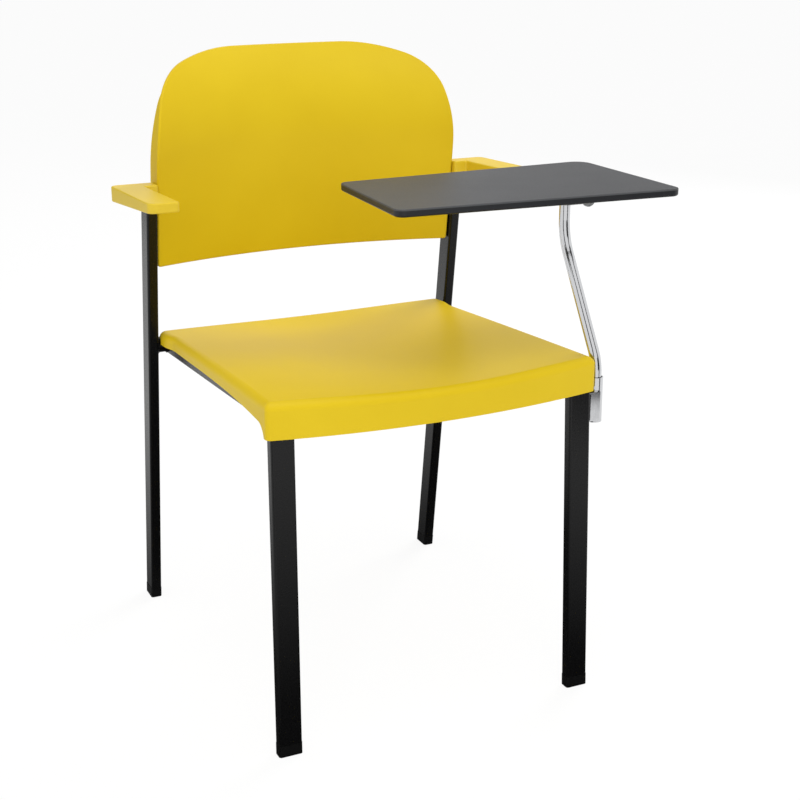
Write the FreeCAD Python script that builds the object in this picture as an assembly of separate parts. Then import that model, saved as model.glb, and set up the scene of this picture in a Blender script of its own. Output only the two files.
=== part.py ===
import FreeCAD, Part
import math
import os

from FreeCAD import Vector

# Stacking chair with armrests and a folding writing tablet on its left arm side.
# Millimetres, +Z up. Drawn about the chair's middle plane, x to the sitter's left,
# y to the rear, z from the floor, and moved to its reference point at the end.

# Frame tubes: flat rectangular section
tube_wide = 30.0
tube_thin = 15.0
tube_wall = 1.5
tube_corner = 3.0

# Heights named drop are measured down from the top of the front legs, and the uprights
# stand out past the seat's half width at its front
upright_outset = 8.0
upright_foot_y = 287.5
upright_lean = 0.145

leg_inset = 16.3
leg_foot_y = -221.3
leg_splay = 0.0105
leg_rake = 0.0305
leg_height = 446.5

rail_rear_drop = 37.6
rail_rear_y = 213.0
rail_slope = 0.0590
rail_tall = 25.0

cross_diameter = 22.0
front_cross_diameter = 19.0
cross_wall = 1.5
rear_cross_drop = 38.3
front_cross_y = -150.0
front_cross_drop = 1.5
rail_cope_share = 0.3

# Foot caps and tube plugs
cap_height = 15.0
cap_floor = 4.0
cap_flare = 0.4
cap_plug_height = 22.0
plug_flange = 1.5
plug_depth = 14.0
fit_gap = 0.05
plug_gap = 0.2

# Seat shell
seat_half_width = 221.0
seat_half_ref_y = -212.0
seat_taper = 0.0181
seat_flare_y = 158.0
seat_flare_radius = 90.0
seat_flare_turn = 14.5
seat_rear_y = 228.0
seat_front_y = -241.9
seat_front_radius = 1020.0
seat_front_corner = 7.0
seat_rear_corner = 11.0
seat_wall = 2.5
seat_top_wall = 3.6
seat_edge_ref_y = 205.0
seat_edge_drop = 16.0
seat_edge_slope = 0.069
seat_edge_radius = 30000.0
seat_dish = 12.0
seat_grid_margin = 24.0
seat_roll = 10.0
seat_apron_drop = 35.0
seat_height_margin = 60.0
seat_dish_shares = (0.34, 0.40, 0.52, 0.66, 0.80, 0.90, 0.97, 1.0, 0.99, 0.93, 0.66, 0.0, -0.35)

# Lower edge of the side skirts, from the rear to the front apron
skirt_rear_y = 213.0
skirt_rear_drop = 34.0
skirt_quarter_y = 95.0
skirt_quarter_drop = 27.2
skirt_high_y = -125.0
skirt_high_drop = 17.9
skirt_turn_y = -186.0
skirt_turn_drop = 19.1
skirt_front_y = -208.5
skirt_front_mid_y = -203.6
skirt_front_mid_drop = 26.5

# Ribs, bosses and fixings under the seat
rib_thickness = 2.4
rib_height = 8.0
rib_bite = 1.0
rib_front_y = -112.0
rib_rear_y = 176.0
rib_margin = 53.0
rib_long_shares = (-0.8, -0.4, 0.0, 0.4, 0.8)
rib_cross_shares = (0.1, 0.37, 0.63, 0.9)
boss_diameter = 13.0
boss_inset = 20.0
fixing_front_y = -112.0
fixing_rear_y = 140.0
tab_length = 30.0
tab_width = 28.0
tab_thickness = 3.0
tab_rise = 2.4
tab_corner = 4.0
buffer_diameter = 10.0
buffer_front_y = -70.0
buffer_rear_y = 60.0
seat_gap = 0.3
leg_relief = 0.5

# Screws
screw_diameter = 4.0
screw_hole = 4.2
screw_clear_hole = 5.0
screw_head_diameter = 9.0
screw_head_height = 3.0
screw_length = 14.0
screw_recess_diameter = 4.4
screw_recess_depth = 1.6
screw_head_round = 1.2

# Back shell
back_side_gap = 1.4
back_bottom_lift = 78.3
back_height = 285.2
back_bottom_corner = 4.0
back_shoulder_radius = 350.0
back_shoulder_turn = 14.0
back_corner_radius = 72.0
back_corner_turn = 56.0
back_crown_radius = 250.0
back_crown_turn = 20.0
back_front_reach = 10.5
back_bend_drop = 131.0
back_bend_radius = 136.0
back_bow_radius = 711.5
back_wall = 4.0
back_flange_wall = 3.5
back_flange_depth = 33.0
back_front_round = 2.5
back_grid_margin = 12.0
back_grid_depth = 90.0
back_fixing_low_drop = 72.8
back_fixing_high_drop = 48.8
back_fixing_setback = 5.0
back_boss_diameter = 16.0
back_boss_height = 2.0

# Armrests
arm_inner_reach = 10.5
arm_width = 39.3
arm_stub_gap = 0.6
arm_front_reach = 178.5
arm_rear_reach = 11.0
arm_stub_reach = 19.5
arm_low_lift = 96.0
arm_depth = 20.7
arm_top_slope = 0.0444
arm_low_slope = 0.088
arm_front_outer_round = 13.0
arm_front_inner_round = 5.0
arm_rear_outer_round = 10.0
arm_stub_round = 3.0
arm_edge_round = 2.0
arm_tenon_depth = 36.0
arm_screw_drop = 22.0

# Sleeve on the front leg and the tablet's post
sleeve_clear = 1.4
sleeve_y = -201.0
sleeve_diameter = 19.0
sleeve_wall = 1.25
sleeve_bottom_drop = 81.5
sleeve_top_drop = 22.0
sleeve_pad_width = 9.0
sleeve_pad_inset = 4.0
sleeve_end_recess = 0.6
post_diameter = 14.4
post_wall = 1.5
post_length = 207.5
post_low_corner_lift = 18.9
post_high_corner_drop = 43.7
post_setback = 90.0
post_low_radius = 55.0
post_high_radius = 80.0

# Tablet, its hinge and the head on the post
# The tablet's corners are measured from the post's top: in to the seat's middle or out,
# and back or ahead
tablet_thickness = 10.0
tablet_sheet = 2.0
tablet_inner_rear_reach = 265.8
tablet_inner_rear_back = 116.5
tablet_inner_front_reach = 274.2
tablet_inner_front_ahead = 78.9
tablet_outer_front_reach = 107.2
tablet_outer_front_ahead = 104.1
tablet_outer_rear_reach = 103.0
tablet_outer_rear_back = 128.0
tablet_corner = 12.0
tablet_outer_rear_corner = 22.0
tablet_low_round = 3.0
tablet_top_round = 1.4
leaf_thickness = 3.0
leaf_left = 45.0
leaf_right = 42.0
leaf_half_width = 38.0
leaf_corner = 6.0
leaf_screw_inset = 8.0
ear_thickness = 3.0
ear_radius = 10.0
ear_gap = 0.5
hinge_reach = 23.4
hinge_drop = 11.3
pin_diameter = 8.0
pin_overhang = 4.0
knuckle_radius = 7.7
knuckle_half = 16.5
head_half = 16.0
head_height = 13.5
head_spigot_height = 18.0
head_corner = 3.0
stop_pad_thickness = 1.5
stop_pad_length = 17.0
stop_pad_half = 13.0
clip_diameter = 13.0
clip_thickness = 1.0
clip_setback = 1.4
tablet_screw_length = 10.0
tablet_screw_head = 2.2

cut_margin = 20.0


# Places that follow the seat's half width, the front legs' height and each other

def upright_x():
    return seat_half_width + upright_outset


def leg_foot_x():
    return seat_half_width - leg_inset


def dropped(drop):
    return leg_height - drop


def back_half_width():
    return upright_x() - tube_thin / 2 - back_side_gap


def back_bottom_z():
    return leg_height + back_bottom_lift


def back_top_z():
    return back_bottom_z() + back_height


def back_front_y():
    # Front face at the bottom edge, ahead of the uprights' centre line
    return upright_foot_y - upright_lean * back_bottom_z() - back_front_reach


def arm_low_ref_z():
    return back_bottom_z() + arm_low_lift


def arm_ref_y():
    return upright_foot_y - upright_lean * arm_low_ref_z()


def back_fixing_heights():
    return [arm_low_ref_z() - back_fixing_low_drop, arm_low_ref_z() - back_fixing_high_drop]


def sleeve_x():
    return seat_half_width + sleeve_clear + sleeve_diameter / 2


def sleeve_bottom_z():
    return dropped(sleeve_bottom_drop)


def sleeve_top_z():
    return dropped(sleeve_top_drop)


def post_top_z():
    return sleeve_top_z() + post_length


def head_top_z():
    return post_top_z() + head_height


def leaf_bottom_z():
    return head_top_z() + stop_pad_thickness


def tablet_low_z():
    return leaf_bottom_z() + leaf_thickness


def tablet_top_z():
    return tablet_low_z() + tablet_thickness


def across(value, side):
    # Mirror an x to the sitter's right (side -1) or left (side 1)
    return value * side


def arc_edge(start, middle, end):
    return Part.Arc(start, middle, end).toShape()


def line_edge(start, end):
    return Part.LineSegment(start, end).toShape()


def rounded_outline(points, radii):
    # Closed wire through the points, each corner turned with its own radius
    starts = []
    middles = []
    ends = []
    count = len(points)
    for index in range(count):
        corner = points[index]
        before = (points[index - 1] - corner).normalize()
        after = (points[(index + 1) % count] - corner).normalize()
        half_angle = before.getAngle(after) / 2
        reach = radii[index] / math.tan(half_angle)
        to_centre = (before + after).normalize() * (radii[index] / math.sin(half_angle))
        centre = corner + to_centre
        starts.append(corner + before * reach)
        ends.append(corner + after * reach)
        middles.append(centre - to_centre.normalize() * radii[index])
    edges = []
    for index in range(count):
        if radii[index] > 0:
            edges.append(arc_edge(starts[index], middles[index], ends[index]))
        edges.append(line_edge(ends[index], starts[(index + 1) % count]))
    return Part.Wire(edges)


def rounded_rectangle(centre, along_x, along_y, radius):
    half_x = Vector(along_x / 2, 0, 0)
    half_y = Vector(0, along_y / 2, 0)
    points = [centre - half_x - half_y, centre + half_x - half_y,
              centre + half_x + half_y, centre - half_x + half_y]
    return rounded_outline(points, [radius] * len(points))


def prism(wire, travel):
    return Part.Face(wire).extrude(travel)


def rod(start, end, diameter):
    travel = end - start
    return Part.makeCylinder(diameter / 2, travel.Length, start, travel)


def box_between(low, high):
    size = high - low
    return Part.makeBox(size.x, size.y, size.z, low)


def fused(solids):
    result = solids[0]
    for solid in solids[1:]:
        result = result.fuse(solid)
    return result.removeSplitter()


def rounded_edges(solid, radius, wanted):
    return solid.makeFillet(radius, [edge for edge in solid.Edges if wanted(edge)])


# Centre lines of the frame tubes at a height or a depth

def upright_centre(side, z):
    return Vector(across(upright_x(), side), upright_foot_y - upright_lean * z, z)


def leg_centre(side, z):
    return Vector(across(leg_foot_x() - leg_splay * z, side), leg_foot_y + leg_rake * z, z)


def rail_x():
    return leg_foot_x() - leg_splay * dropped(rail_rear_drop)


def rail_centre(side, y):
    return Vector(across(rail_x(), side), y, dropped(rail_rear_drop) + (rail_rear_y - y) * rail_slope)


def slanted_block(line, along_x, along_y, low_z, high_z, shrink):
    start = line(low_z)
    corner = max(tube_corner - shrink, tube_corner / 4)
    wire = rounded_rectangle(start, along_x - 2 * shrink, along_y - 2 * shrink, corner)
    return prism(wire, line(high_z) - start)


def upright_block(side, low_z, high_z, shrink):
    return slanted_block(lambda z: upright_centre(side, z), tube_thin, tube_wide, low_z, high_z, shrink)


def leg_block(side, low_z, high_z, shrink):
    return slanted_block(lambda z: leg_centre(side, z), tube_wide, tube_thin, low_z, high_z, shrink)


def hollow_tube(block, side, low_z, high_z):
    bore = block(side, low_z - cut_margin, high_z + cut_margin, tube_wall)
    return block(side, low_z, high_z, 0).cut(bore)


def upright(side):
    high_z = arm_low_z(arm_ref_y() - arm_stub_reach)
    tube = hollow_tube(upright_block, side, cap_floor, high_z).cut(arm_space(side))
    for z in back_fixing_heights():
        tube = tube.cut(back_fixing_hole(side, z, screw_hole))
    return tube.cut(arm_screw_hole(side, screw_clear_hole))


def front_leg(side):
    return hollow_tube(leg_block, side, cap_floor, leg_height)


def foot_cap(block, side):
    # Shoe over the tube's end with a plug up its bore
    shoe = block(side, 0, cap_height, -cap_flare)
    socket = block(side, cap_floor, cap_height + cut_margin, -plug_gap / 4)
    plug = block(side, cap_floor / 2, cap_plug_height, tube_wall + plug_gap)
    return fused([shoe.cut(socket), plug])


def leg_plug(side):
    flange = leg_block(side, leg_height, leg_height + plug_flange, 0)
    body = leg_block(side, leg_height - plug_depth, leg_height, tube_wall + plug_gap)
    return fused([flange, body])


# Rails and cross tubes

def rail_block(side, shrink):
    front = leg_centre(side, leg_height).y
    rear = upright_centre(side, dropped(rear_cross_drop)).y - rail_cope_share * cross_diameter / 2
    start = rail_centre(side, front)
    half_x = Vector(tube_thin / 2 - shrink, 0, 0)
    half_z = Vector(0, 0, rail_tall / 2 - shrink)
    points = [start - half_x - half_z, start + half_x - half_z,
              start + half_x + half_z, start - half_x + half_z]
    corner = max(tube_corner - shrink, tube_corner / 4)
    wire = rounded_outline(points, [corner] * len(points))
    return prism(wire, rail_centre(side, rear) - start)


def side_rail(side):
    tube = rail_block(side, 0).cut(rail_block(side, tube_wall))
    tube = tube.cut(leg_block(side, cap_floor, leg_height + cut_margin, 0))
    return tube.cut(cross_rod(0))


def cross_rod(shrink):
    centre = upright_centre(1, dropped(rear_cross_drop))
    reach = upright_x() - tube_thin / 2
    start = Vector(-reach, centre.y, centre.z)
    end = Vector(reach, centre.y, centre.z)
    return rod(start, end, cross_diameter - 2 * shrink)


def rear_cross_tube():
    return cross_rod(0).cut(cross_rod(cross_wall))


def front_cross_tube():
    centre = rail_centre(1, front_cross_y)
    reach = rail_x() - tube_thin / 2
    start = Vector(-reach, centre.y, centre.z - front_cross_drop)
    end = Vector(reach, centre.y, centre.z - front_cross_drop)
    tube = rod(start, end, front_cross_diameter)
    return tube.cut(rod(start, end, front_cross_diameter - 2 * cross_wall))


# Seat shell

def seat_edge_z(y):
    run = seat_edge_ref_y - y
    return dropped(seat_edge_drop) + seat_edge_slope * run - run * run / (2 * seat_edge_radius)


def dish_share(y):
    # Depth of the dish at a y, read along the even rows of the table
    step = (seat_rear_y - seat_front_y) / (len(seat_dish_shares) - 3)
    place = (y - seat_front_y) / step + 1
    index = min(max(int(place), 0), len(seat_dish_shares) - 2)
    rest = place - index
    return seat_dish_shares[index] * (1 - rest) + seat_dish_shares[index + 1] * rest


def seat_top_z(x, y):
    across_share = math.cos(math.pi / 2 * x / seat_half_width) ** 2
    return seat_edge_z(y) - seat_dish * across_share * dish_share(y)


def seat_surface(drop):
    # Dished top as one smooth face, wider than the seat on every side
    columns = 12
    step = (seat_rear_y - seat_front_y) / (len(seat_dish_shares) - 3)
    half = seat_half_width + seat_grid_margin
    grid = []
    for column in range(columns + 1):
        x = half * (2 * column / columns - 1)
        line = []
        for row in range(len(seat_dish_shares)):
            y = seat_front_y + step * (row - 1)
            line.append(Vector(x, y, seat_top_z(x, y) - drop))
        grid.append(line)
    surface = Part.BSplineSurface()
    surface.interpolate(grid)
    return surface.toShape()


def seat_side_normal():
    return Vector(1, seat_taper, 0).normalize()


def front_corner_centre():
    # On the side's inner parallel, at the corner radius inside the front arc
    arc_centre = Vector(0, seat_front_y + seat_front_radius, 0)
    normal = seat_side_normal()
    along = Vector(-normal.y, normal.x, 0)
    start = Vector(seat_half_width, seat_half_ref_y, 0) - normal * seat_front_corner
    offset = start - arc_centre
    reach = seat_front_radius - seat_front_corner
    half = offset.dot(along)
    return start + along * (-half - math.sqrt(half * half - offset.dot(offset) + reach * reach))


def flare_steps():
    # Where the side turns out and back again before the rear corner
    normal = seat_side_normal()
    along = Vector(-normal.y, normal.x, 0)
    on_side = Vector(seat_half_width, seat_half_ref_y, 0)
    start = on_side + along * ((seat_flare_y - on_side.y) / along.y)
    turn = math.radians(seat_flare_turn)
    out_way = normal * math.cos(turn) - along * math.sin(turn)
    first = start + normal * seat_flare_radius
    second = first - out_way * seat_flare_radius * 2
    return start, first, second, out_way


def rear_corner_centre():
    normal = seat_side_normal()
    start, first, second, out_way = flare_steps()
    y = seat_rear_y - seat_rear_corner
    reach = second.dot(normal) + seat_flare_radius - seat_rear_corner
    return Vector((reach - normal.y * y) / normal.x, y, 0)


def corner_arc(centre, start_way, end_way, radius):
    middle_way = (start_way + end_way).normalize()
    return arc_edge(centre + start_way * radius, centre + middle_way * radius, centre + end_way * radius)


def seat_outline(inset):
    # Left half from the front arc round to the rear, then mirrored
    arc_centre = Vector(0, seat_front_y + seat_front_radius, 0)
    normal = seat_side_normal()
    front_centre = front_corner_centre()
    rear_centre = rear_corner_centre()
    front_way = (front_centre - arc_centre).normalize()
    front_end = arc_centre + front_way * (seat_front_radius - inset)
    front_turn = seat_front_corner - inset
    rear_turn = seat_rear_corner - inset
    start, first, second, out_way = flare_steps()
    half = [corner_arc(front_centre, front_way, normal, front_turn),
            line_edge(front_centre + normal * front_turn, start - normal * inset),
            corner_arc(first, normal * -1, out_way * -1, seat_flare_radius + inset),
            corner_arc(second, out_way, normal, seat_flare_radius - inset),
            line_edge(second + normal * (seat_flare_radius - inset), rear_centre + normal * rear_turn),
            corner_arc(rear_centre, normal, Vector(0, 1, 0), rear_turn)]
    other = [edge.mirror(Vector(0, 0, 0), Vector(1, 0, 0)) for edge in half]
    front = arc_edge(Vector(-front_end.x, front_end.y, 0), Vector(0, seat_front_y + inset, 0), front_end)
    rear_end = rear_centre + Vector(0, rear_turn, 0)
    rear = line_edge(rear_end, Vector(-rear_end.x, rear_end.y, 0))
    return Part.Wire(Part.__sortEdges__(half + other + [front, rear]))


def seat_block(inset, drop, bottom):
    wire = seat_outline(inset)
    wire.translate(Vector(0, 0, bottom))
    column = prism(wire, Vector(0, 0, seat_height_margin * 2))
    return column.common(seat_surface(drop).extrude(Vector(0, 0, -seat_height_margin * 2)))


def is_seat_rim(edge):
    # The closed run of edges round the top
    return edge.BoundBox.ZMin > dropped(seat_apron_drop) + seat_top_wall


def rolled_seat_block(inset, drop, bottom):
    return rounded_edges(seat_block(inset, drop, bottom), seat_roll - inset, is_seat_rim)


def skirt_cutter():
    # Everything below the side skirts' lower edge, behind the apron, and round the rear cross tube
    far_y = seat_rear_y + cut_margin
    apron_z = dropped(seat_apron_drop)
    low_z = apron_z - cut_margin
    lip_z = rail_centre(1, seat_rear_y).z + rail_tall / 2 + seat_gap
    rear_z = dropped(skirt_rear_drop)
    turn_z = dropped(skirt_turn_drop)
    skirt_line = Part.BSplineCurve()
    skirt_line.interpolate([Vector(0, skirt_rear_y, rear_z),
                            Vector(0, skirt_quarter_y, dropped(skirt_quarter_drop)),
                            Vector(0, skirt_high_y, dropped(skirt_high_drop)),
                            Vector(0, skirt_turn_y, turn_z)])
    front_point = Vector(0, skirt_front_y, apron_z - seat_top_wall)
    turn = arc_edge(Vector(0, skirt_turn_y, turn_z),
                    Vector(0, skirt_front_mid_y, dropped(skirt_front_mid_drop)), front_point)
    corners = [front_point, Vector(0, skirt_front_y, low_z), Vector(0, far_y, low_z),
               Vector(0, far_y, lip_z), Vector(0, skirt_rear_y, lip_z), Vector(0, skirt_rear_y, rear_z)]
    lines = [line_edge(start, end) for start, end in zip(corners, corners[1:])]
    wire = Part.Wire([skirt_line.toShape(), turn] + lines)
    wire.translate(Vector(-seat_half_width - cut_margin, 0, 0))
    return prism(wire, Vector(2 * (seat_half_width + cut_margin), 0, 0))


def seat_ribs():
    # Grid of ribs under the top, each standing a steady height below it
    layer = seat_surface(seat_top_wall - rib_bite).extrude(Vector(0, 0, -rib_height - rib_bite))
    low = dropped(seat_apron_drop)
    high = low + seat_height_margin
    half = rib_thickness / 2
    side_x = seat_half_width - rib_margin
    ribs = []
    for share in rib_long_shares:
        x = side_x * share
        ribs.append(box_between(Vector(x - half, rib_front_y, low), Vector(x + half, rib_rear_y, high)))
    for share in rib_cross_shares:
        y = rib_front_y + (rib_rear_y - rib_front_y) * share
        ribs.append(box_between(Vector(-side_x, y - half, low), Vector(side_x, y + half, high)))
    return fused(ribs).common(layer)


def fixing_places():
    reach = rail_x() - tube_thin / 2 - boss_inset
    return [(side, y, Vector(across(reach, side), y, 0))
            for side in (-1, 1) for y in (fixing_front_y, fixing_rear_y)]


def tab_top_z(y):
    return rail_centre(1, y).z + tab_rise


def seat_bosses():
    bosses = []
    for side, y, place in fixing_places():
        low = place + Vector(0, 0, tab_top_z(y))
        high = place + Vector(0, 0, seat_top_z(place.x, y) - seat_top_wall / 2)
        bosses.append(rod(low, high, boss_diameter))
    return bosses


def seat_screw_holes():
    holes = []
    for side, y, place in fixing_places():
        low = place + Vector(0, 0, tab_top_z(y) - cut_margin)
        high = place + Vector(0, 0, tab_top_z(y) + screw_length - tab_thickness)
        holes.append(rod(low, high, screw_hole))
    return holes


def seat_shell():
    apron_z = dropped(seat_apron_drop)
    outer = rolled_seat_block(0, 0, apron_z)
    inner = rolled_seat_block(seat_wall, seat_top_wall, apron_z - cut_margin)
    shell = outer.cut(inner).cut(skirt_cutter())
    for side in (-1, 1):
        shell = shell.cut(leg_block(side, apron_z - cut_margin, leg_height + plug_flange, -leg_relief))
    shell = fused([shell, seat_ribs()] + seat_bosses())
    for hole in seat_screw_holes():
        shell = shell.cut(hole)
    return shell


def seat_tab(side, y):
    # Plate with two round corners, its square side against the rail
    reach = rail_x() - tube_thin / 2
    centre = Vector(across(reach - tab_width / 2, side), y, tab_top_z(y) - tab_thickness)
    wire = rounded_rectangle(centre, tab_width, tab_length, tab_corner)
    edges = sorted([across(reach, side), across(reach - tab_corner, side)])
    square = box_between(Vector(edges[0], y - tab_length / 2, centre.z),
                         Vector(edges[1], y + tab_length / 2, centre.z + tab_thickness))
    plate = fused([prism(wire, Vector(0, 0, tab_thickness)), square])
    place = Vector(across(reach - boss_inset, side), y, centre.z - cut_margin)
    return plate.cut(rod(place, place + Vector(0, 0, cut_margin * 2), screw_clear_hole))


def pan_screw(head_base, inward, length):
    # Domed head standing off a face, shank going inward from it
    inward = Vector(inward).normalize()
    head = rod(head_base - inward * screw_head_height, head_base, screw_head_diameter)
    outer_face = head_base - inward * screw_head_height
    head = rounded_edges(head, screw_head_round,
                         lambda edge: edge.Closed and edge.CenterOfMass.distanceToPoint(outer_face) < fit_gap)
    recess = Part.makeCylinder(screw_recess_diameter / 2, screw_recess_depth, outer_face, inward)
    shank = rod(head_base, head_base + inward * length, screw_diameter)
    return fused([head.cut(recess), shank])


def seat_screws():
    screws = []
    for side, y, place in fixing_places():
        base = place + Vector(0, 0, tab_top_z(y) - tab_thickness)
        screws.append(pan_screw(base, Vector(0, 0, 1), screw_length - fit_gap * 4))
    return Part.makeCompound(screws)


def seat_buffer(side, y):
    # Rubber pad on the rail's top with a thin gap to the seat
    base = rail_centre(side, y) + Vector(0, 0, rail_tall / 2)
    lowest = min(seat_top_z(base.x, y + reach) for reach in (-buffer_diameter / 2, buffer_diameter / 2))
    top = lowest - seat_top_wall - seat_gap
    pad = rod(base - Vector(0, 0, tube_wall), Vector(base.x, y, top), buffer_diameter)
    return pad.cut(rail_block(side, 0))


# Back shell

def back_profile_y(z):
    # Front face at the sides: straight along the uprights, then curling to the rear
    bend_z = back_top_z() - back_bend_drop
    join_y = back_front_y() - upright_lean * (bend_z - back_bottom_z())
    if z <= bend_z:
        return back_front_y() - upright_lean * (z - back_bottom_z())
    lean = math.atan(upright_lean)
    rise = (z - bend_z) / back_bend_radius - math.sin(lean)
    return join_y + back_bend_radius * (math.cos(lean) - math.sqrt(1 - rise * rise))


def back_bow_y(x):
    edge = math.sqrt(back_bow_radius ** 2 - back_half_width() ** 2)
    return math.sqrt(back_bow_radius ** 2 - x ** 2) - edge


def back_surface(setback):
    columns = 10
    rows = 20
    half = back_half_width() + back_grid_margin
    low = back_bottom_z() - back_grid_margin
    high = back_top_z() + back_grid_margin
    grid = []
    for column in range(columns + 1):
        x = half * (2 * column / columns - 1)
        line = []
        for row in range(rows + 1):
            z = low + (high - low) * row / rows
            line.append(Vector(x, back_profile_y(z) + back_bow_y(x) + setback, z))
        grid.append(line)
    surface = Part.BSplineSurface()
    surface.interpolate(grid)
    return surface.toShape()


def back_steps():
    # Radius and turn of each arc from the straight side up to the crown
    return ((back_shoulder_radius, back_shoulder_turn), (back_corner_radius, back_corner_turn),
            (back_crown_radius, back_crown_turn))


def back_steps_rise():
    rise = 0
    heading = 0
    for radius, degrees in back_steps():
        start = heading
        heading = start + math.radians(degrees)
        rise = rise + radius * (math.sin(heading) - math.sin(start))
    return rise


def back_outline(inset):
    # Right half walked up its arcs, then mirrored for the left half
    steps = back_steps()
    half = back_half_width() - inset
    bottom = back_bottom_z() + inset
    side_z = back_top_z() - back_steps_rise()
    turn = max(back_bottom_corner - inset, back_bottom_corner / 4)
    diagonal = turn * (1 - math.sqrt(0.5))
    right = [arc_edge(Vector(half - turn, 0, bottom), Vector(half - diagonal, 0, bottom + diagonal),
                      Vector(half, 0, bottom + turn)),
             line_edge(Vector(half, 0, bottom + turn), Vector(half, 0, side_z))]
    place = Vector(half, 0, side_z)
    heading = 0.0
    for radius, degrees in steps:
        radius = radius - inset
        centre = place - Vector(math.cos(heading), 0, math.sin(heading)) * radius
        middle = heading + math.radians(degrees) / 2
        heading = heading + math.radians(degrees)
        middle_place = centre + Vector(math.cos(middle), 0, math.sin(middle)) * radius
        end = centre + Vector(math.cos(heading), 0, math.sin(heading)) * radius
        right.append(arc_edge(place, middle_place, end))
        place = end
    left = [edge.mirror(Vector(0, 0, 0), Vector(1, 0, 0)) for edge in right]
    top = line_edge(place, Vector(-place.x, 0, place.z))
    base = line_edge(Vector(turn - half, 0, bottom), Vector(half - turn, 0, bottom))
    return Part.Wire(Part.__sortEdges__(right + left + [top, base]))


def back_prism(inset, start_y):
    wire = back_outline(inset)
    wire.translate(Vector(0, start_y, 0))
    return prism(wire, Vector(0, back_grid_depth * 2, 0))


def behind_back_plane():
    # Space behind the flanges' rear plane, which runs along the uprights
    low = back_bottom_z() - cut_margin
    high = back_top_z() + cut_margin
    rear_y = back_front_y() + back_flange_depth
    low_y = rear_y - upright_lean * (low - back_bottom_z())
    high_y = rear_y - upright_lean * (high - back_bottom_z())
    far = back_front_y() + back_grid_depth * 2
    x = -back_half_width() - cut_margin
    points = [Vector(x, low_y, low), Vector(x, far, low), Vector(x, far, high), Vector(x, high_y, high)]
    wire = Part.makePolygon(points + points[:1])
    return prism(wire, Vector(-2 * x, 0, 0))


def is_back_front_rim(edge):
    # Edges of the outline that lie on the front face
    point = edge.valueAt((edge.FirstParameter + edge.LastParameter) / 2)
    front = back_profile_y(point.z) + back_bow_y(point.x)
    ends = [vertex.Point for vertex in edge.Vertexes]
    off = max(abs(end.y - back_profile_y(end.z) - back_bow_y(end.x)) for end in ends)
    return abs(point.y - front) < seat_gap and off < seat_gap


def back_fixing_centre(side, z):
    centre = upright_centre(side, z) + Vector(0, back_fixing_setback, 0)
    return Vector(across(back_half_width() - back_flange_wall - back_boss_height, side), centre.y, z)


def back_fixing_hole(side, z, diameter):
    start = back_fixing_centre(side, z)
    inner_reach = screw_length - fit_gap
    return rod(start, start + Vector(across(inner_reach, side), 0, 0), diameter)


def back_shell():
    start_y = back_front_y() - back_grid_depth
    front = back_surface(0)
    panel = front.extrude(Vector(0, back_wall, 0)).common(back_prism(0, start_y))
    ring = back_prism(0, start_y).cut(back_prism(back_flange_wall, start_y - cut_margin))
    flange = front.extrude(Vector(0, back_grid_depth, 0)).common(ring).cut(behind_back_plane())
    shell = fused([panel, flange])
    shell = rounded_edges(shell, back_front_round, is_back_front_rim)
    for side in (-1, 1):
        for z in back_fixing_heights():
            start = back_fixing_centre(side, z)
            wall = Vector(across(back_boss_height + back_flange_wall / 2, side), 0, 0)
            shell = shell.fuse(rod(start, start + wall, back_boss_diameter))
            shell = shell.cut(back_fixing_hole(side, z, screw_clear_hole))
    return shell


def back_screws():
    screws = []
    for side in (-1, 1):
        for z in back_fixing_heights():
            outward = Vector(across(1, side), 0, 0)
            screws.append(pan_screw(back_fixing_centre(side, z), outward, screw_length - 4 * fit_gap))
    return Part.makeCompound(screws)


def back_spacers():
    # Washers between the flanges and the uprights
    spacers = []
    for side in (-1, 1):
        for z in back_fixing_heights():
            centre = back_fixing_centre(side, z)
            start = Vector(across(back_half_width(), side), centre.y, z)
            end = Vector(across(upright_x() - tube_thin / 2, side), centre.y, z)
            spacers.append(rod(start, end, back_boss_diameter).cut(rod(start, end, screw_clear_hole)))
    return Part.makeCompound(spacers)


# Armrests

def arm_top_z(y):
    return arm_low_ref_z() + arm_depth + (arm_ref_y() - y) * arm_top_slope


def arm_plan(side):
    stub_x = back_half_width() + arm_stub_gap
    inner_x = upright_x() + arm_inner_reach
    outer_x = arm_outer_x()
    stub_y = arm_ref_y() - arm_stub_reach
    front_y = arm_ref_y() - arm_front_reach
    rear_y = arm_ref_y() + arm_rear_reach
    xs = [stub_x, inner_x, inner_x, outer_x, outer_x, stub_x]
    ys = [stub_y, stub_y, front_y, front_y, rear_y, rear_y]
    radii = [arm_stub_round, arm_stub_round, arm_front_inner_round, arm_front_outer_round,
             arm_rear_outer_round, arm_stub_round]
    points = [Vector(across(x, side), y, arm_low_ref_z() - cut_margin) for x, y in zip(xs, ys)]
    return rounded_outline(points, radii)


def arm_outer_x():
    return upright_x() + arm_inner_reach + arm_width


def arm_low_z(y):
    return arm_low_ref_z() + (arm_ref_y() - y) * arm_low_slope


def arm_space(side):
    # Wedge between the armrest's underside and top planes, thin at the front
    front = arm_ref_y() - arm_front_reach - cut_margin
    rear = arm_ref_y() + arm_rear_reach + cut_margin
    points = [Vector(0, front, arm_low_z(front)), Vector(0, front, arm_top_z(front)),
              Vector(0, rear, arm_top_z(rear)), Vector(0, rear, arm_low_z(rear))]
    wire = Part.makePolygon(points + points[:1])
    return prism(wire, Vector(across(arm_outer_x() + cut_margin, side), 0, 0))


def is_arm_rim(edge):
    # Edges of the top and bottom, not the upright corners
    ends = [vertex.Point for vertex in edge.Vertexes]
    on_top = all(abs(end.z - arm_top_z(end.y)) < fit_gap for end in ends)
    on_low = all(abs(end.z - arm_low_z(end.y)) < fit_gap for end in ends)
    return on_top or on_low


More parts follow.
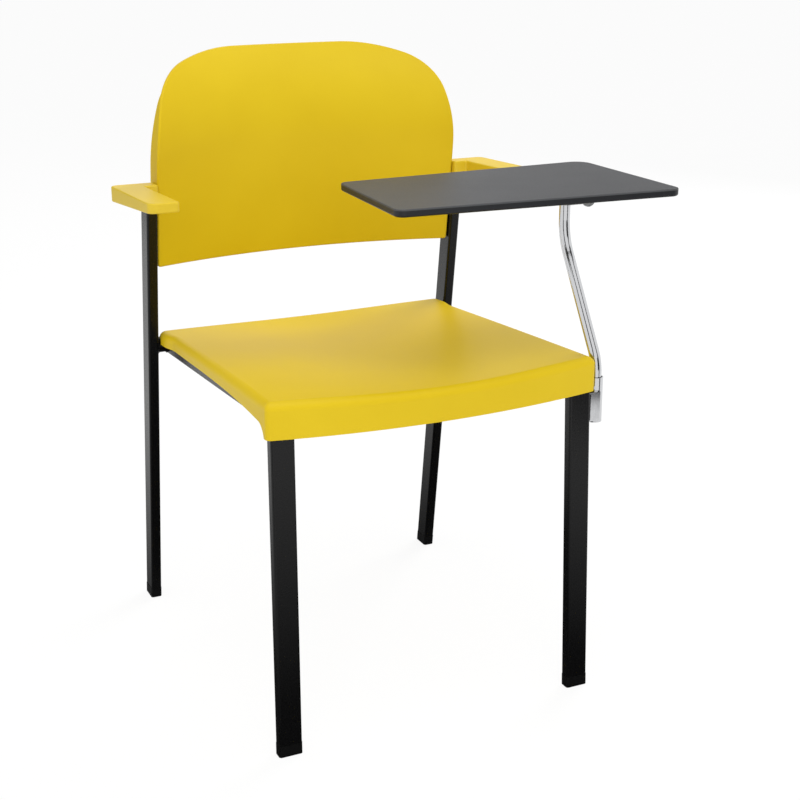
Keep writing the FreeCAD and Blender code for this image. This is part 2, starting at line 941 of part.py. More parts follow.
def arm_screw_seat(side):
    # On the upright's rear face
    return upright_centre(side, arm_low_ref_z() - arm_screw_drop) + Vector(0, tube_wide / 2, 0)


def arm_screw_way():
    # Square to the leaning rear face, into the tube
    return Vector(0, -1, -upright_lean).normalize()


def arm_screw_hole(side, diameter):
    seat = arm_screw_seat(side)
    way = arm_screw_way()
    return rod(seat - way * tube_wall * 2, seat + way * (screw_length - fit_gap), diameter)


def armrest(side):
    body = prism(arm_plan(side), Vector(0, 0, cut_margin * 4)).common(arm_space(side))
    body = rounded_edges(body, arm_edge_round, is_arm_rim)
    tenon = upright_block(side, arm_low_ref_z() - arm_tenon_depth, arm_low_ref_z() + arm_edge_round * 2,
                          tube_wall + plug_gap)
    return fused([body, tenon]).cut(arm_screw_hole(side, screw_hole))


def arm_screws():
    screws = []
    for side in (-1, 1):
        screws.append(pan_screw(arm_screw_seat(side), arm_screw_way(), screw_length - 4 * fit_gap))
    return Part.makeCompound(screws)


# Sleeve and bush on the left front leg

def sleeve_axis(z):
    return Vector(sleeve_x(), sleeve_y, z)


def post_sleeve():
    low = sleeve_axis(sleeve_bottom_z())
    high = sleeve_axis(sleeve_top_z())
    return rod(low, high, sleeve_diameter).cut(rod(low, high, sleeve_diameter - 2 * sleeve_wall))


def sleeve_pad():
    # Weld-on packing between the leg's outer face and the sleeve
    low_z = sleeve_bottom_z() + sleeve_pad_inset
    high_z = dropped(seat_apron_drop) - sleeve_pad_inset
    inner = leg_centre(1, high_z)
    low = Vector(inner.x, inner.y - sleeve_pad_width / 2, low_z)
    high = Vector(sleeve_x(), inner.y + sleeve_pad_width / 2, high_z)
    pad = box_between(low, high)
    pad = pad.cut(leg_block(1, cap_floor, leg_height, 0))
    return pad.cut(rod(sleeve_axis(sleeve_bottom_z()), sleeve_axis(sleeve_top_z()), sleeve_diameter))


def sleeve_bush():
    # Plain bearing, set just below the sleeve's end
    bore = sleeve_diameter - 2 * sleeve_wall
    low = sleeve_axis(sleeve_bottom_z() + cap_floor)
    high = sleeve_axis(sleeve_top_z() - sleeve_end_recess)
    return rod(low, high, bore - 2 * fit_gap).cut(rod(low, high, post_diameter + 2 * fit_gap))


def sleeve_cap():
    # Plug in the sleeve's lower end that the post stands on
    bore = sleeve_diameter - 2 * sleeve_wall
    low = sleeve_axis(sleeve_bottom_z() + sleeve_end_recess)
    high = sleeve_axis(sleeve_bottom_z() + cap_floor)
    return rod(low, high, bore - 2 * fit_gap)


# Post, head and hinge

def hinge_centre():
    return Vector(sleeve_x() + hinge_reach, sleeve_y + post_setback, tablet_low_z() - hinge_drop)


def post_path():
    # Upright, leaning back, upright again, with a bend at each corner
    setback = Vector(0, post_setback, 0)
    corners = [sleeve_axis(sleeve_bottom_z() + cap_floor),
               sleeve_axis(sleeve_top_z() + post_low_corner_lift),
               sleeve_axis(post_top_z() - post_high_corner_drop) + setback,
               sleeve_axis(post_top_z()) + setback]
    radii = [post_low_radius, post_high_radius]
    edges = []
    place = corners[0]
    for corner, following, radius in zip(corners[1:-1], corners[2:], radii):
        back = (place - corner).normalize()
        ahead = (following - corner).normalize()
        half_angle = back.getAngle(ahead) / 2
        to_centre = (back + ahead).normalize() * (radius / math.sin(half_angle))
        start = corner + back * (radius / math.tan(half_angle))
        end = corner + ahead * (radius / math.tan(half_angle))
        middle = corner + to_centre - to_centre.normalize() * radius
        edges.append(line_edge(place, start))
        edges.append(arc_edge(start, middle, end))
        place = end
    edges.append(line_edge(place, corners[-1]))
    return Part.Wire(edges)


def tablet_post():
    path = post_path()
    start = sleeve_axis(sleeve_bottom_z() + cap_floor)
    circle = Part.Wire(Part.makeCircle(post_diameter / 2, start, Vector(0, 0, 1)))
    return path.makePipeShell([circle], True, False).cut(spigot(post_diameter - 2 * post_wall))


def spigot(diameter):
    # Round stub down the post's top end
    top = sleeve_axis(post_top_z()) + Vector(0, post_setback, 0)
    return rod(top - Vector(0, 0, head_spigot_height), top, diameter)


def post_head():
    # Spigot in the post, a flat arm and the hinge knuckle
    hinge = hinge_centre()
    left = sleeve_x() - sleeve_diameter / 2
    arm = box_between(Vector(left, hinge.y - head_half, post_top_z()),
                      Vector(hinge.x, hinge.y + head_half, head_top_z()))
    arm = rounded_edges(arm, head_corner, lambda edge: edge.BoundBox.ZLength > head_corner
                        and edge.BoundBox.XMax < hinge.x - head_corner)
    half = Vector(0, knuckle_half, 0)
    knuckle = rod(hinge - half, hinge + half, knuckle_radius * 2)
    head = fused([spigot(post_diameter - 2 * post_wall - 2 * fit_gap), arm, knuckle])
    pin_reach = Vector(0, knuckle_half + cut_margin, 0)
    return head.cut(rod(hinge - pin_reach, hinge + pin_reach, pin_diameter + 2 * fit_gap))


def stop_pad():
    # Rubber pad that the leaf rests on
    hinge = hinge_centre()
    left = sleeve_x() - sleeve_diameter / 2 + head_corner
    low = Vector(left, hinge.y - stop_pad_half, head_top_z())
    high = Vector(left + stop_pad_length, hinge.y + stop_pad_half, leaf_bottom_z())
    return box_between(low, high)


def leaf_screw_places():
    hinge = hinge_centre()
    xs = (hinge.x - leaf_left + leaf_screw_inset, hinge.x + leaf_right - leaf_screw_inset)
    ys = (hinge.y - leaf_half_width + leaf_screw_inset, hinge.y + leaf_half_width - leaf_screw_inset)
    return [Vector(x, y, leaf_bottom_z()) for x in xs for y in ys]


def tablet_leaf():
    hinge = hinge_centre()
    low_z = leaf_bottom_z()
    corners = [Vector(hinge.x - leaf_left, hinge.y - leaf_half_width, low_z),
               Vector(hinge.x + leaf_right, hinge.y - leaf_half_width, low_z),
               Vector(hinge.x + leaf_right, hinge.y + leaf_half_width, low_z),
               Vector(hinge.x - leaf_left, hinge.y + leaf_half_width, low_z)]
    leaf = prism(rounded_outline(corners, [leaf_corner] * len(corners)), Vector(0, 0, leaf_thickness))
    for direction in (-1, 1):
        near = hinge.y + direction * (knuckle_half + ear_gap)
        start = Vector(hinge.x, near, hinge.z)
        travel = Vector(0, direction * ear_thickness, 0)
        disc = rod(start, start + travel, ear_radius * 2)
        faces = sorted([near, near + travel.y])
        strip = box_between(Vector(hinge.x - ear_radius, faces[0], hinge.z),
                            Vector(hinge.x + ear_radius, faces[1], low_z + leaf_thickness / 2))
        hole = rod(start, start + travel, pin_diameter + 2 * fit_gap)
        leaf = leaf.fuse(disc).fuse(strip).cut(hole)
    for place in leaf_screw_places():
        leaf = leaf.cut(rod(place, place + Vector(0, 0, leaf_thickness), screw_clear_hole))
    return leaf.removeSplitter()


def pin_half():
    return knuckle_half + ear_gap + ear_thickness + pin_overhang


def hinge_pin():
    hinge = hinge_centre()
    half = Vector(0, pin_half(), 0)
    pin = rod(hinge - half, hinge + half, pin_diameter)
    for direction in (-1, 1):
        start = clip_place(direction)
        groove = rod(start, start + Vector(0, direction * clip_thickness, 0), pin_diameter)
        core = rod(start, start + Vector(0, direction * clip_thickness, 0), pin_diameter - clip_thickness * 2)
        pin = pin.cut(groove.cut(core))
    return pin


def clip_place(direction):
    hinge = hinge_centre()
    reach = knuckle_half + ear_gap + ear_thickness + fit_gap * 2
    return hinge + Vector(0, direction * reach, 0)


def pin_clips():
    clips = []
    for direction in (-1, 1):
        start = clip_place(direction)
        end = start + Vector(0, direction * clip_thickness, 0)
        bore = pin_diameter - clip_thickness * 2 + fit_gap * 2
        ring = rod(start, end, clip_diameter).cut(rod(start, end, bore))
        faces = sorted([start.y, end.y])
        slot = box_between(Vector(start.x - clip_setback, faces[0] - clip_thickness, start.z - clip_diameter),
                           Vector(start.x + clip_setback, faces[1] + clip_thickness, start.z))
        clips.append(ring.cut(slot))
    return Part.makeCompound(clips)


def tablet_block(low_z, high_z):
    post = sleeve_axis(low_z) + Vector(0, post_setback, 0)
    points = [post + Vector(-tablet_inner_rear_reach, tablet_inner_rear_back, 0),
              post + Vector(-tablet_inner_front_reach, -tablet_inner_front_ahead, 0),
              post + Vector(tablet_outer_front_reach, -tablet_outer_front_ahead, 0),
              post + Vector(tablet_outer_rear_reach, tablet_outer_rear_back, 0)]
    corners = [tablet_corner, tablet_corner, tablet_corner, tablet_outer_rear_corner]
    return prism(rounded_outline(points, corners), Vector(0, 0, high_z - low_z))


def tablet_board():
    low_z = tablet_low_z()
    board = tablet_block(low_z, tablet_top_z() - tablet_sheet)
    board = rounded_edges(board, tablet_low_round, lambda edge: edge.BoundBox.ZMax < low_z + fit_gap)
    for place in leaf_screw_places():
        base = Vector(place.x, place.y, low_z)
        depth = tablet_screw_length - leaf_thickness + fit_gap
        board = board.cut(rod(base, base + Vector(0, 0, depth), screw_hole))
    return board


def tablet_surface():
    top_z = tablet_top_z()
    sheet = tablet_block(top_z - tablet_sheet, top_z)
    return rounded_edges(sheet, tablet_top_round, lambda edge: edge.BoundBox.ZMin > top_z - fit_gap)


def tablet_screws():
    screws = []
    for place in leaf_screw_places():
        up = Vector(0, 0, 1)
        low = place - up * tablet_screw_head
        head = Part.makeCone(screw_head_diameter / 3, screw_head_diameter / 2, tablet_screw_head, low, up)
        recess = rod(low, place - up * tablet_screw_head / 3, screw_recess_diameter)
        shank = rod(place, place + up * tablet_screw_length, screw_diameter)
        screws.append(fused([head.cut(recess), shank]))
    return Part.makeCompound(screws)


def reference_shift():
    # From the middle plane to the middle of the whole object's footprint
    left = -arm_outer_x()
    right = sleeve_x() + tablet_outer_front_reach
    front = seat_front_y
    rear = upright_foot_y + tube_wide / 2 + cap_flare
    return Vector(-(left + right) / 2, -(front + rear) / 2, 0)


def all_nodes():
    nodes = {}
    for name, side in (("right", -1), ("left", 1)):
        nodes["upright_" + name] = upright(side)
        nodes["front_leg_" + name] = front_leg(side)
        nodes["side_rail_" + name] = side_rail(side)
        nodes["rear_foot_cap_" + name] = foot_cap(upright_block, side)
        nodes["front_foot_cap_" + name] = foot_cap(leg_block, side)
        nodes["leg_plug_" + name] = leg_plug(side)
        nodes["armrest_" + name] = armrest(side)
        nodes["seat_tab_front_" + name] = seat_tab(side, fixing_front_y)
        nodes["seat_tab_rear_" + name] = seat_tab(side, fixing_rear_y)
        nodes["seat_buffer_front_" + name] = seat_buffer(side, buffer_front_y)
        nodes["seat_buffer_rear_" + name] = seat_buffer(side, buffer_rear_y)
    nodes["rear_cross_tube"] = rear_cross_tube()
    nodes["front_cross_tube"] = front_cross_tube()
    nodes["seat_shell"] = seat_shell()
    nodes["seat_screws"] = seat_screws()
    nodes["back_shell"] = back_shell()
    nodes["back_screws"] = back_screws()
    nodes["back_spacers"] = back_spacers()
    nodes["arm_screws"] = arm_screws()
    nodes["post_sleeve"] = post_sleeve()
    nodes["sleeve_pad"] = sleeve_pad()
    nodes["sleeve_bush"] = sleeve_bush()
    nodes["sleeve_cap"] = sleeve_cap()
    nodes["tablet_post"] = tablet_post()
    nodes["post_head"] = post_head()
    nodes["stop_pad"] = stop_pad()
    nodes["hinge_pin"] = hinge_pin()
    nodes["pin_clips"] = pin_clips()
    nodes["tablet_leaf"] = tablet_leaf()
    nodes["tablet_board"] = tablet_board()
    nodes["tablet_surface"] = tablet_surface()
    nodes["tablet_screws"] = tablet_screws()
    return nodes


def main():
    os.makedirs("parts", exist_ok=True)
    shift = reference_shift()
    for name, shape in all_nodes().items():
        shape.translate(shift)
        shape.exportStep("parts/" + name + ".step")
        box = shape.BoundBox
        print(name, len(shape.Solids), shape.isValid(), round(shape.Volume, 1),
              [round(value, 1) for value in (box.XMin, box.YMin, box.ZMin, box.XMax, box.YMax, box.ZMax)])


main()
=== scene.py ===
import math

import bmesh
import bpy
from mathutils import Matrix, Vector


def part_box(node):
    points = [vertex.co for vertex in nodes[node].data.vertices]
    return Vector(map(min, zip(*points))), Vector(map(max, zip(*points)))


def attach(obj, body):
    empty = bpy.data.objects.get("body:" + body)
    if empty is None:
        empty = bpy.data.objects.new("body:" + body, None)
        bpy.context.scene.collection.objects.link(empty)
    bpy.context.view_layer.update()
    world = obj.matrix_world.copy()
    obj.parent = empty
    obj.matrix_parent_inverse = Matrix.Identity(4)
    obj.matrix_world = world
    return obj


# Stacking chair: yellow plastic seat, back and armrests on a black tube frame,
# with a grey writing tablet on a chromed post at the sitter's left.
# All lengths are in metres, except the camera's lens and sensor.

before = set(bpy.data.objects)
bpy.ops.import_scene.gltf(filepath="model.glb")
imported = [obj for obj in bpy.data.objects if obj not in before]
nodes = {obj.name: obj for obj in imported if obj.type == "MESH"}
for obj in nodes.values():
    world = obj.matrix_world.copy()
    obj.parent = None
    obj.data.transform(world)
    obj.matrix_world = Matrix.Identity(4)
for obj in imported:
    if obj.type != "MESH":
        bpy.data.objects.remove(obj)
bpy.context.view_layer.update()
print("frame loaded:", len(nodes), "nodes")


# Camera and studio

camera = {
    "place": (-0.79808, -1.78096, 1.00500),
    "tilt": 71.465,  # degrees up from straight down
    "heading": -25.042,
    "lens": 67.564,  # millimetres, as the sensor
    "sensor": 36.0,
    "reach": 100.0,  # distance up to which it sees
}

white = (1.0, 1.0, 1.0, 1.0)

studio = {
    "roomLight": 0.70,  # strength of the world on the object
    "backdrop": 1.0,  # strength of the world as it is seen
    "floorColour": (0.93, 0.93, 0.93, 1.0),
    "floorWidth": 60.0,
    "floorDrop": 0.0005,
    "floorGlow": 0.90,  # share of the floor that is plain white to the eye
}

# Dark flags that only reflections see. A flag stands "away" from the place it is "at". Its
# bearing is in degrees from the front of the chair, to the sitter's left, and its span is
# the angle it covers. The two lines draw the dark lines in the chromed post, and the card
# darkens the right end of the tablet.
flags = {
    "frontFlag": {
        "at": (0.0, 0.0), "bearing": 28.0, "span": 36.0, "away": 4.0,
        "low": 0.0, "high": 1.9, "shade": 0.02,
    },
    "sideFlag": {
        "at": (0.0, 0.0), "bearing": -47.0, "span": 15.0, "away": 3.2,
        "low": 0.0, "high": 3.0, "shade": 0.04,
    },
    "rearFlag": {
        "at": (0.0, 0.0), "bearing": -163.0, "span": 26.0, "away": 3.4,
        "low": 0.0, "high": 3.0, "shade": 0.05,
    },
    "rightLine": {
        "at": (0.21, -0.13), "bearing": 29.0, "span": 17.0, "away": 0.8,
        "low": 0.16, "high": 1.7, "shade": 0.06,
    },
    "midLine": {
        "at": (0.21, -0.13), "bearing": -54.0, "span": 12.0, "away": 1.2,
        "low": 0.0, "high": 1.7, "shade": 0.10,
    },
    "tabletCard": {
        "at": (0.40, -0.30), "bearing": 150.0, "span": 30.0, "away": 1.6,
        "low": 1.1, "high": 2.3, "shade": 0.05,
    },
}

# Dark round mat under the chair, which only reflections see
mat = {
    "place": (0.0, -0.10),
    "dark": 0.35,  # radius that is fully dark
    "clear": 1.30,  # radius where it has faded out
    "shade": 0.03,
    "lift": 0.0004,
    "segments": 64,
}

lampAim = (0.0, 0.0, 0.45)

# "glint" says whether reflections see the lamp itself.
lamps = {
    "keyLamp": {"place": (-1.3, -3.2, 2.4), "width": 2.6, "power": 43.5, "glint": False},
    "topLamp": {"place": (-0.5, -0.8, 3.3), "width": 2.2, "power": 26.0, "glint": True},
    "rearLamp": {"place": (2.6, 1.6, 1.8), "width": 1.6, "power": 74.0, "glint": False},
}


class Signal:
    # A shader socket that can stand in a sum
    def __init__(self, bench, socket):
        self.bench = bench
        self.socket = socket

    def __add__(self, other):
        return self.bench.reckon("ADD", self, other)

    def __sub__(self, other):
        return self.bench.reckon("SUBTRACT", self, other)

    def __rsub__(self, other):
        return self.bench.reckon("SUBTRACT", other, self)

    def __mul__(self, other):
        return self.bench.reckon("MULTIPLY", self, other)

    __radd__ = __add__
    __rmul__ = __mul__


class Bench:
    # Builds one node tree
    def __init__(self, tree):
        self.tree = tree
        tree.nodes.clear()

    def add(self, kind, settings=None, sockets=None, output=0):
        node = self.tree.nodes.new(kind)
        for key, value in (settings or {}).items():
            setattr(node, key, value)
        for key, value in (sockets or {}).items():
            if isinstance(value, Signal):
                self.tree.links.new(value.socket, node.inputs[key])
            else:
                node.inputs[key].default_value = value
        return Signal(self, node.outputs[output]) if len(node.outputs) else node

    def reckon(self, operation, first, second):
        return self.add("ShaderNodeMath", {"operation": operation}, {0: first, 1: second})

    def place(self):
        return self.add("ShaderNodeTexCoord", None, None, "Object")

    def noise(self, place, size, detail=2.0):
        sockets = {"Vector": place, "Scale": 1.0 / size, "Detail": detail}
        return self.add("ShaderNodeTexNoise", None, sockets, "Fac")

    def clamp(self, value, low, high):
        # 0 at low, 1 at high
        sockets = {"Value": value, "From Min": low, "From Max": high}
        return self.add("ShaderNodeMapRange", {"clamp": True}, sockets)

    def blend(self, factor, first, second):
        settings = {"data_type": "RGBA"}
        return self.add("ShaderNodeMix", settings, {0: factor, 6: first, 7: second}, 2)

    def bump(self, height, depth):
        sockets = {"Height": height, "Distance": depth, "Strength": 1.0}
        return self.add("ShaderNodeBump", None, sockets)

    def surface(self, **sockets):
        shader = self.add("ShaderNodeBsdfPrincipled", None, sockets)
        self.add("ShaderNodeOutputMaterial", None, {"Surface": shader})


def newFinish(name):
    material = bpy.data.materials.new(name)
    material.use_nodes = True
    return material, Bench(material.node_tree)


# Finishes. A "deeper" or "paler" colour is what the pattern blends to, a size is that of
# the pattern's features and a depth the height of its bump.

shellFinish = {
    "colour": (0.690, 0.492, 0.008, 1.0),
    "deeper": (0.655, 0.458, 0.006, 1.0),
    "roughness": 0.44,
    "roughSpread": 0.07,
    "shine": 0.20,
    "cloudSize": 0.16,
    "pebbleSize": 0.0021,
    "grainSize": 0.0006,
    "pebbleDepth": 0.00004,
}

armFinish = {
    "colour": (0.700, 0.505, 0.016, 1.0),
    "deeper": (0.665, 0.470, 0.012, 1.0),
    "roughness": 0.46,
    "roughSpread": 0.06,
    "shine": 0.50,
    "cloudSize": 0.08,
    "pebbleSize": 0.0016,
    "grainSize": 0.0005,
    "pebbleDepth": 0.00005,
}

tubeFinish = {
    "colour": (0.0022, 0.0022, 0.0023, 1.0),
    "paler": (0.0036, 0.0036, 0.0037, 1.0),
    "roughness": 0.26,
    "roughSpread": 0.08,
    "shine": 0.33,
    "peelSize": 0.0024,
    "peelDepth": 0.00007,
    "dustSize": 0.00045,
}

capFinish = {
    "colour": (0.0024, 0.0024, 0.0025, 1.0),
    "paler": (0.0065, 0.0064, 0.0062, 1.0),
    "roughness": 0.45,
    "roughSpread": 0.14,
    "shine": 0.30,
    "peelSize": 0.0011,
    "peelDepth": 0.00008,
    "dustSize": 0.00030,
}

rubberFinish = {
    "colour": (0.010, 0.010, 0.010, 1.0),
    "paler": (0.022, 0.021, 0.020, 1.0),
    "roughness": 0.72,
    "roughSpread": 0.12,
    "shine": 0.40,
    "peelSize": 0.0014,
    "peelDepth": 0.00010,
    "dustSize": 0.00030,
}

chromeFinish = {
    "colour": (0.63, 0.635, 0.65, 1.0),
    "roughness": 0.11,
    "smearSize": 0.018,
    "smearSpread": 0.06,
    "drawSize": 0.0007,
    "drawDepth": 0.000006,
}

bracketFinish = {
    "colour": (0.60, 0.605, 0.61, 1.0),
    "roughness": 0.30,
    "smearSize": 0.010,
    "smearSpread": 0.18,
    "drawSize": 0.0009,
    "drawDepth": 0.00002,
}

screwFinish = {
    "colour": (0.52, 0.51, 0.48, 1.0),
    "roughness": 0.28,
    "smearSize": 0.003,
    "smearSpread": 0.16,
    "drawSize": 0.0005,
    "drawDepth": 0.00001,
}

tabletFinish = {
    "colour": (0.057, 0.0585, 0.062, 1.0),
    "paler": (0.073, 0.0750, 0.079, 1.0),
    "roughness": 0.47,
    "roughSpread": 0.10,
    "shine": 0.30,
    "fleckSize": 0.0013,
    "fleckDepth": 0.00004,
    "cloudSize": 0.09,
}

edgeFinish = {
    "colour": (0.010, 0.0108, 0.0128, 1.0),
    "paler": (0.016, 0.0172, 0.0200, 1.0),
    "roughness": 0.40,
    "roughSpread": 0.12,
    "shine": 0.35,
    "fleckSize": 0.0010,
    "fleckDepth": 0.00004,
    "cloudSize": 0.05,
}


# Shares and thresholds of the patterns

noiseMiddle = 0.5

plasticPattern = {
    "pebbleSmooth": 0.6,
    "pebbleShare": 0.7,
    "grainShare": 0.3,
    "driftLow": 0.3,
    "driftHigh": 0.7,
}

coatPattern = {
    "nibLow": 0.62,
    "nibHigh": 0.74,
    "nibRough": 0.5,  # share of the roughness spread
    "nibHeight": 0.25,
}

metalPattern = {
    "stretch": (1.0, 1.0, 0.04),
    "hazeLow": 0.45,
    "hazeHigh": 0.75,
    "lineRough": 0.5,  # share of the roughness
}

laminatePattern = {
    "fineShare": 1 / 3,  # of the fleck's size
    "speckLow": 0.45,
    "speckHigh": 0.70,
    "speckColour": 0.6,
    "cloudColour": 0.4,
    "fleckMiddle": 0.4,
    "fleckHeight": 0.6,
    "fineHeight": 0.4,
}


def mouldedPlastic(name, finish):
    # Injection moulded shell: pebbled tool texture, slow drift of colour and gloss
    material, bench = newFinish(name)
    place = bench.place()
    cloud = bench.noise(place, finish["cloudSize"], 3.0)
    sockets = {"Vector": place, "Scale": 1.0 / finish["pebbleSize"],
               "Smoothness": plasticPattern["pebbleSmooth"]}
    pebbles = bench.add("ShaderNodeTexVoronoi", {"feature": "SMOOTH_F1"}, sockets, "Distance")
    grain = bench.noise(place, finish["grainSize"])
    height = pebbles * plasticPattern["pebbleShare"] + grain * plasticPattern["grainShare"]
    drift = bench.clamp(cloud, plasticPattern["driftLow"], plasticPattern["driftHigh"])
    colour = bench.blend(drift, finish["deeper"], finish["colour"])
    swing = finish["roughSpread"]
    rough = finish["roughness"] + (cloud - noiseMiddle) * swing + (grain - noiseMiddle) * swing
    bench.surface(**{"Base Color": colour, "Roughness": rough,
                     "Normal": bench.bump(height, finish["pebbleDepth"]),
                     "Specular IOR Level": finish["shine"]})
    return material


def powderCoat(name, finish):
    # Baked coat on steel, or a plain moulding: soft peel and fine dust nibs
    material, bench = newFinish(name)
    place = bench.place()
    peel = bench.noise(place, finish["peelSize"], 1.5)
    dust = bench.noise(place, finish["dustSize"])
    nibs = bench.clamp(dust, coatPattern["nibLow"], coatPattern["nibHigh"])
    colour = bench.blend(nibs, finish["colour"], finish["paler"])
    swing = finish["roughSpread"]
    nibbed = nibs * (swing * coatPattern["nibRough"])
    rough = finish["roughness"] + (peel - noiseMiddle) * swing + nibbed
    height = peel + nibs * coatPattern["nibHeight"]
    bench.surface(**{"Base Color": colour, "Roughness": rough,
                     "Normal": bench.bump(height, finish["peelDepth"]),
                     "Specular IOR Level": finish["shine"]})
    return material


def brightMetal(name, finish):
    # Plated or bare steel with draw lines along the height and faint smears
    material, bench = newFinish(name)
    place = bench.place()
    sockets = {"Vector": place, "Scale": metalPattern["stretch"]}
    lines = bench.noise(bench.add("ShaderNodeMapping", None, sockets), finish["drawSize"])
    smear = bench.noise(place, finish["smearSize"], 4.0)
    haze = bench.clamp(smear, metalPattern["hazeLow"], metalPattern["hazeHigh"])
    lineSpread = finish["roughness"] * metalPattern["lineRough"]
    rough = finish["roughness"] + haze * finish["smearSpread"] + (lines - noiseMiddle) * lineSpread
    bench.surface(**{"Base Color": finish["colour"], "Metallic": 1.0, "Roughness": rough,
                     "Normal": bench.bump(lines, finish["drawDepth"])})
    return material


def laminate(name, finish):
    # Writing surface and its edge: fine flecked texture
    material, bench = newFinish(name)
    place = bench.place()
    cloud = bench.noise(place, finish["cloudSize"], 3.0)
    sockets = {"Vector": place, "Scale": 1.0 / finish["fleckSize"]}
    flecks = bench.add("ShaderNodeTexVoronoi", {"feature": "F1"}, sockets, "Distance")
    fine = bench.noise(place, finish["fleckSize"] * laminatePattern["fineShare"])
    speck = bench.clamp(fine, laminatePattern["speckLow"], laminatePattern["speckHigh"])
    shade = speck * laminatePattern["speckColour"] + cloud * laminatePattern["cloudColour"]
    colour = bench.blend(shade, finish["colour"], finish["paler"])
    swing = finish["roughSpread"]
    flecked = (flecks - laminatePattern["fleckMiddle"]) * swing
    rough = finish["roughness"] + (cloud - noiseMiddle) * swing + flecked
    height = flecks * laminatePattern["fleckHeight"] + fine * laminatePattern["fineHeight"]
    bench.surface(**{"Base Color": colour, "Roughness": rough,
                     "Normal": bench.bump(height, finish["fleckDepth"]),
                     "Specular IOR Level": finish["shine"]})
    return material


finishes = {
    "yellow_shell": mouldedPlastic("shellYellow", shellFinish),
    "yellow_arm": mouldedPlastic("armYellow", armFinish),
    "black_tube": powderCoat("tubeBlack", tubeFinish),
    "black_cap": powderCoat("capBlack", capFinish),
    "black_rubber": powderCoat("rubberBlack", rubberFinish),
    "black_plastic": powderCoat("plasticBlack", capFinish),
    "bright_chrome": brightMetal("postChrome", chromeFinish),
    "bracket_steel": brightMetal("bracketSteel", bracketFinish),
    "plated_screw": brightMetal("screwZinc", screwFinish),
    "tablet_face": laminate("tabletGrey", tabletFinish),
    "tablet_edge": laminate("tabletEdge", edgeFinish),
}

for node in nodes.values():
    for holder in node.material_slots:
        holder.material = finishes[holder.material.name]
print("finishes given to", len(nodes), "nodes")


# Weld beads on the frame

bead = {
    "radius": 0.0016,
    "ripple": 0.20,  # share of the radius
    "pitch": 0.0024,  # length of one ripple
    "steps": 4,  # rings to a ripple
    "sides": 10,
    "endShare": 0.45,  # radius of the end rings, as a share
    "sinkShare": 0.4,  # how far a bead's line stands off a tube, as a share of the radius
    "marginShare": 2.0,  # room left at the ends of a tab, as a share of the radius
    "padShare": 0.06,  # place of the sleeve's runs, as a share of the pad's width
}

tubeJoints = {
    "railWide": 0.015,
    "railTall": 0.025,
    "railCorner": 0.003,
    "crossReach": 62.0,  # degrees of the rear tube that a rail's cope covers, each way
    "arcSteps": 24,
    "cornerSteps": 3,
}


def makeObject(name, sheet, material):
    mesh = bpy.data.meshes.new(name)
    sheet.to_mesh(mesh)
    sheet.free()
    mesh.materials.append(material)
    made = bpy.data.objects.new(name, mesh)
    bpy.context.scene.collection.objects.link(made)
    return made


def addPiece(name, sheet, body, slot):
    bmesh.ops.recalc_face_normals(sheet, faces=sheet.faces[:])
    for face in sheet.faces:
        face.smooth = True
    piece = makeObject(name, sheet, finishes[slot])
    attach(piece, body)


def spread(points, closed):
    # Even samples along a line of points, a whole number of ripples long
    corners = [Vector(point) for point in points]
    if closed:
        corners.append(corners[0])
    lengths = [(after - before).length for before, after in zip(corners, corners[1:])]
    total = sum(lengths)
    count = max(2, round(total / bead["pitch"])) * bead["steps"]
    samples = []
    leg, walked = 0, 0.0
    for index in range(count if closed else count + 1):
        target = total * index / count
        while leg < len(lengths) - 1 and walked + lengths[leg] < target:
            walked += lengths[leg]
            leg += 1
        samples.append(corners[leg].lerp(corners[leg + 1], (target - walked) / lengths[leg]))
    return samples


def weldBead(sheet, points, closed=False):
    samples = spread(points, closed)
    rings = []
    for index, here in enumerate(samples):
        before = samples[index - 1] if closed or index else here
        after = samples[(index + 1) % len(samples)] if closed or index < len(samples) - 1 else here
        turn = (after - before).to_track_quat("Z", "Y").to_matrix().to_4x4()
        swell = abs(math.sin(math.pi * index / bead["steps"]))
        radius = bead["radius"] * (1.0 - bead["ripple"] * (1.0 - swell))
        if not closed and index in (0, len(samples) - 1):
            radius = bead["radius"] * bead["endShare"]
        made = bmesh.ops.create_circle(sheet, segments=bead["sides"], radius=radius,
                                       matrix=Matrix.Translation(here) @ turn)
        rings.append(list(dict.fromkeys(edge for vert in made["verts"] for edge in vert.link_edges)))
    pairs = list(zip(rings, rings[1:])) + ([(rings[-1], rings[0])] if closed else [])
    for first, second in pairs:
        bmesh.ops.bridge_loops(sheet, edges=first + second)
    if not closed:
        for ring in (rings[0], rings[-1]):
            bmesh.ops.edgeloop_fill(sheet, edges=ring)


def tubeRing(x, centre, radius):
    # Points round a cross tube's end, in a plane of constant x
    steps = tubeJoints["arcSteps"] * 2
    return [(x, centre.y + radius * math.cos(2 * math.pi * step / steps),
             centre.z + radius * math.sin(2 * math.pi * step / steps)) for step in range(steps)]


def copeArc(x, centre, radius):
    # Points on a rail's side where it meets the front of the rear tube
    reach = math.radians(tubeJoints["crossReach"])
    steps = tubeJoints["arcSteps"]
    angles = [reach * (2 * step / steps - 1) for step in range(steps + 1)]
    return [(x, centre.y - radius * math.cos(angle), centre.z + radius * math.sin(angle))
            for angle in angles]


def railFrame(x, y, z):
    # Rounded rectangle round a side rail's front end, in a plane of constant y
    halfWide = tubeJoints["railWide"] / 2
    halfTall = tubeJoints["railTall"] / 2
    corner = tubeJoints["railCorner"]
    points = []
    for side, level, start in ((1, 1, 0), (-1, 1, 90), (-1, -1, 180), (1, -1, 270)):
        for step in range(tubeJoints["cornerSteps"] + 1):
            angle = math.radians(start + 90.0 * step / tubeJoints["cornerSteps"])
            points.append((x + side * (halfWide - corner) + corner * math.cos(angle), y,
                           z + level * (halfTall - corner) + corner * math.sin(angle)))
    return points


